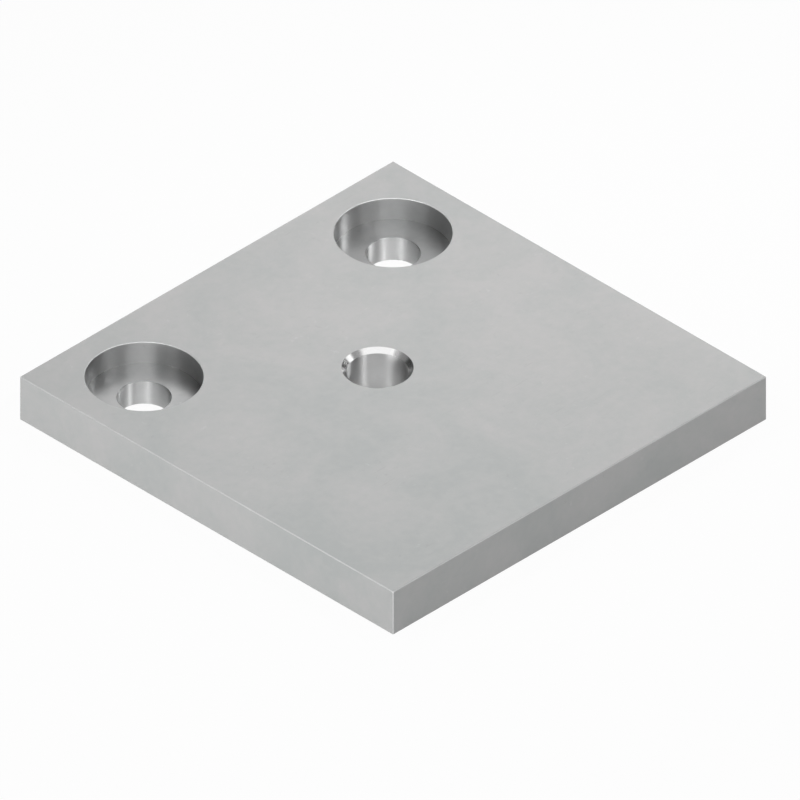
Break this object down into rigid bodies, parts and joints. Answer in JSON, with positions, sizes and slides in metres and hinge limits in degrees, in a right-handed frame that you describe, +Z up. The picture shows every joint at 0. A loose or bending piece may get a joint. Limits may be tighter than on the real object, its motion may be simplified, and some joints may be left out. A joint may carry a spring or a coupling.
{
  "type": "fixture base plate",
  "caption": "Square milled aluminium base plate for a fixture, with counterbored screw holes along its rear edge and a bevelled bore near its middle for a pin or stud.",
  "frame": {"origin": "middle of the underside of the plate", "axes": "+Z up, out of the clamping face; X along the row of screw holes; +Y towards the rear edge, beside which the screw holes lie"},
  "size_m": [0.12, 0.12, 0.012],
  "materials": {
    "milled_plate": "fine milled, matte, with brighter drilled bores"
  },
  "bodies": {
    "root": {"base_plate": "milled_plate"}
  },
  "joints": []
}
